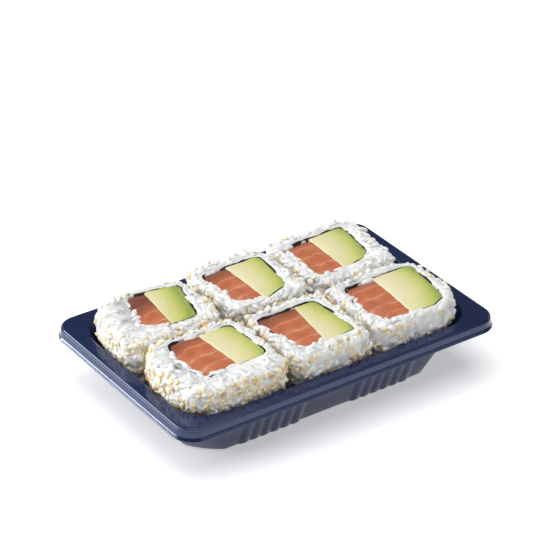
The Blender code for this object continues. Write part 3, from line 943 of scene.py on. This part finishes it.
# How far each salmon dips at its back, and where the middle of its fat arcs is; the salmon's painted shade
# also grows with the distance from this middle
SALMON_DROPS = {"1": 0.9, "2": 0.6, "3": 1.3, "4": 0.45, "5": 0.4, "6": 1.1}
FAT_AND_SHADE_CENTRES = {
    "1": (-44.0, -17.5),
    "2": (-4.0, -13.5),
    "3": (30.0, -9.5),
    "4": (-46.0, -50.0),
    "5": (-4.0, -55.0),
    "6": (37.0, -53.0),
}

# How much greener each piece of avocado is than the others, as a distance in millimetres
GREENER = {"1": 2.5, "2": -0.5, "3": 0.5, "4": -1.0, "5": -0.5, "6": 0.8}


def blobs(point, size, layer):
    """Smooth noise over the plan, with blobs of a size in millimetres; each layer is another pattern."""
    return noise.noise(Vector((point[0] / size, point[1] / size, layer)))


def filling_outline(key, grow):
    """The filling's outline with a slight unevenness: no two rolls are packed alike."""
    points = rounded(moved_in(FILLING_CORNERS[key], -grow), FILLING_CORNER + grow)
    outline = evenly(points, OUTLINE_STEPS)
    middle = middle_of(outline)
    uneven = []
    for point in outline:
        out = (point - middle).normalized()
        bump = OUTLINE_BUMP * blobs(point, 5, 3.7 * int(key))
        fine = OUTLINE_FINE * blobs(point, 1.7, 1.9 * int(key))
        uneven.append(point + out * (bump + fine))
    return uneven


def folded(point, key):
    """How far the nori stands out of the rice at a place on its way round, or sinks in it: about -1 to 1."""
    return 1.6 * blobs(point, 6.5, 2.3 * int(key))


def build_nori(key, material):
    """A thin sheet round the filling with a wavy edge."""
    top = ROLL_TOP - CUT_LOWER[key]
    bottom = FLOOR_TOP + NODE_GAP
    middle = middle_of(filling_outline(key, 0))
    outside = ((1, bottom, 0), (1, top - NORI_WAVY, 0), (1, top, 1))
    inside = ((0, top + 0.05, 1), (0, top - NORI_WAVY, 0), (0, bottom, 0))
    rings = []
    for outer, height, wavy in outside + inside:
        ring = []
        for point in filling_outline(key, NORI_GAP + outer * NORI):
            fold = folded(point, key)
            lift = wavy * (NORI_RIPPLE * blobs(point, 2.2, 5.0) - NORI_SUNK + NORI_FOLD_RISE * fold)
            thick = NORI_UNEVEN * blobs(point, 1.4, 8.0) + NORI_FOLD * fold
            thick = outer * max(thick, THINNEST_NORI - NORI)
            out = (point - middle).normalized()
            ring.append((*squeezed(point + out * thick, height / ROLL_TOP), height + lift))
        rings.append(ring)
    rings.append(rings[0])
    mesh = skin_from_rings("nori_sheet_" + key, rings, False, False)
    face_out(mesh, weld=True)
    add_piece("nori_sheet_" + key, mesh, material, "nori_" + key, slot="nori")


def half_outline(key, side, inset):
    """The filling's outline on one side of its split: side is -1 for the salmon and 1 for the avocado."""
    back, front = (Vector(point) for point in SPLITS[key])
    along = (back - front).normalized()
    right = Vector((along.y, -along.x))
    edge = side * right.dot(back) + 0.02 + inset
    points = []
    for here, after in pairs(filling_outline(key, -inset)):
        start = side * right.dot(here) - edge
        end = side * right.dot(after) - edge
        if start > 0:
            points.append(here)
        if start * end < 0:
            points.append(here.lerp(after, start / (start - end)))
    return evenly(points, OUTLINE_STEPS)


def build_filling(key, side, food, material, relief, origin):
    """Half of the filling as a bar through the roll, with relief on its cut face."""
    top = ROLL_TOP - CUT_LOWER[key]
    rings = []
    edges = [(0.0, FLOOR_TOP + NODE_GAP)] + [(inset, top - depth) for inset, depth in CUT_ROUNDING]
    for inset, height in edges:
        ring = []
        for point in half_outline(key, side, inset):
            lift = relief(point, key) if height > top - RELIEF_DEPTH else 0.0
            ring.append((*squeezed(point, height / ROLL_TOP), height + lift))
        rings.append(ring)
    outline = half_outline(key, side, CUT_INSET)
    middle = middle_of(outline)
    for step in range(TOP_RINGS):
        points = [middle.lerp(point, 1 - step / TOP_RINGS) for point in outline]
        rings.append([(*point, top + relief(point, key)) for point in points])
    name = food + "_cut_" + key
    mesh = skin_from_rings(name, rings)
    start = Vector((*origin, top)) * MM
    mesh.transform(Matrix.Translation(-start))
    piece = add_piece(name, mesh, material, food + "_" + key, slot=food)
    piece.matrix_world = Matrix.Translation(start)
    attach(piece, BODY)
    return piece


def avocado_centre(key):
    """A point far to the left of the filling: the fruit greens with the distance from it."""
    front, back = sorted(sorted(FILLING_CORNERS[key])[-2:], key=lambda corner: corner[1])
    along = (Vector(back) - Vector(front)).normalized()
    right = Vector((along.y, -along.x))
    return (Vector(front) + Vector(back)) / 2 - right * (AVOCADO_REACH - 1.0 + GREENER[key])


def behind(point, key):
    """How far a point lies in front of the filling's back edge, in millimetres."""
    back_left, back_right = sorted(sorted(FILLING_CORNERS[key], key=lambda corner: corner[1])[-2:])
    along = (Vector(back_right) - Vector(back_left)).normalized()
    return (Vector(back_left) - point).dot(Vector((-along.y, along.x)))


def salmon_relief(point, key):
    """The fish dips towards the back of the roll, with shallow flakes round its fat lines."""
    reach = (point - Vector(FAT_AND_SHADE_CENTRES[key])).length + 1.5 * noise.noise(Vector((*point, 0)) / 9.0)
    flake = 0.1 * math.sin(2 * math.pi * reach / FAT_PITCH)
    dip = SALMON_DROPS[key] * (1 - smooth_step(0.0, 4.0, behind(point, key)))
    return -0.1 - dip + flake + 0.25 * noise.noise(Vector((*point, 9.0 * int(key))) / 5.0)


def avocado_relief(point, key):
    broad = 0.2 * noise.noise(Vector((*point, 4.0 * int(key))) / 8.0)
    return broad + 0.05 * noise.noise(Vector((*point, 2.0)) / 1.6)


def build_fillings():
    salmon = salmon_finish()
    avocado = avocado_finish()
    nori = nori_finish()
    for key in FILLING_CORNERS:
        build_nori(key, nori)
        build_filling(key, -1, "salmon", salmon, salmon_relief, FAT_AND_SHADE_CENTRES[key])
        build_filling(key, 1, "avocado", avocado, avocado_relief, avocado_centre(key))


# Floor, light and camera

CAMERA_PLACE = (-0.53468, -0.71899, 0.58846)
CAMERA_RIGHT = (0.81280987, -0.5820725, 0.02305898)
CAMERA_DOWN = (-0.2830301, -0.42920382, -0.85771676)
CAMERA_FORWARD = (0.50915034, 0.69063427, -0.51360514)
CAMERA_LENS = 164.65


def build_stage():
    bm = bmesh.new()
    bmesh.ops.create_grid(bm, x_segments=8, y_segments=8, size=4.0)
    mesh = bpy.data.meshes.new("floor")
    bm.to_mesh(mesh)
    bm.free()
    floor = bpy.data.objects.new("floor", mesh)
    bpy.context.scene.collection.objects.link(floor)
    mesh.materials.append(floor_finish())


def add_light(name, place, aim, size, energy, colour):
    light = bpy.data.lights.new(name, "AREA")
    light.shape = "RECTANGLE"
    light.size, light.size_y = size
    light.energy = energy
    light.color = colour
    lamp = bpy.data.objects.new(name, light)
    bpy.context.scene.collection.objects.link(lamp)
    lamp.location = place
    lamp.rotation_euler = (Vector(aim) - Vector(place)).to_track_quat("-Z", "Y").to_euler()


def build_light():
    add_light("softbox_left", (-0.95, 0.75, 0.95), (0.0, 0.0, 0.02), (1.4, 1.4), 16.0, (1.0, 0.985, 0.96))
    add_light("panel_left", (-0.75, 0.60, 0.09), (0.0, 0.0, 0.02), (0.75, 0.15), 6.0, (0.94, 0.97, 1.0))
    add_light("overhead", (0.0, -0.1, 1.6), (0.0, 0.0, 0.0), (1.6, 1.6), 20.0, (0.97, 0.985, 1.0))
    add_light("fill_front", (0.5, -1.1, 0.7), (0.0, 0.0, 0.02), (0.9, 0.6), 1.4, (0.94, 0.97, 1.0))
    world = bpy.data.worlds.new("studio")
    bpy.context.scene.world = world
    world.use_nodes = True
    background = world.node_tree.nodes["Background"]
    background.inputs["Color"].default_value = (0.90, 0.95, 1.0, 1.0)
    background.inputs["Strength"].default_value = 0.15


def build_camera():
    camera = bpy.data.cameras.new("camera")
    camera.lens = CAMERA_LENS
    camera.sensor_width = 36.0
    eye = bpy.data.objects.new("camera", camera)
    bpy.context.scene.collection.objects.link(eye)
    columns = (Vector(CAMERA_RIGHT), -Vector(CAMERA_DOWN), -Vector(CAMERA_FORWARD))
    eye.matrix_world = Matrix.Translation(CAMERA_PLACE) @ Matrix(columns).transposed().to_4x4()
    bpy.context.scene.camera = eye
    bpy.context.scene.view_settings.view_transform = "Standard"


build_stage()
build_light()
build_camera()
build_tray()
rice = build_rice()
build_seeds(rice)
build_fillings()
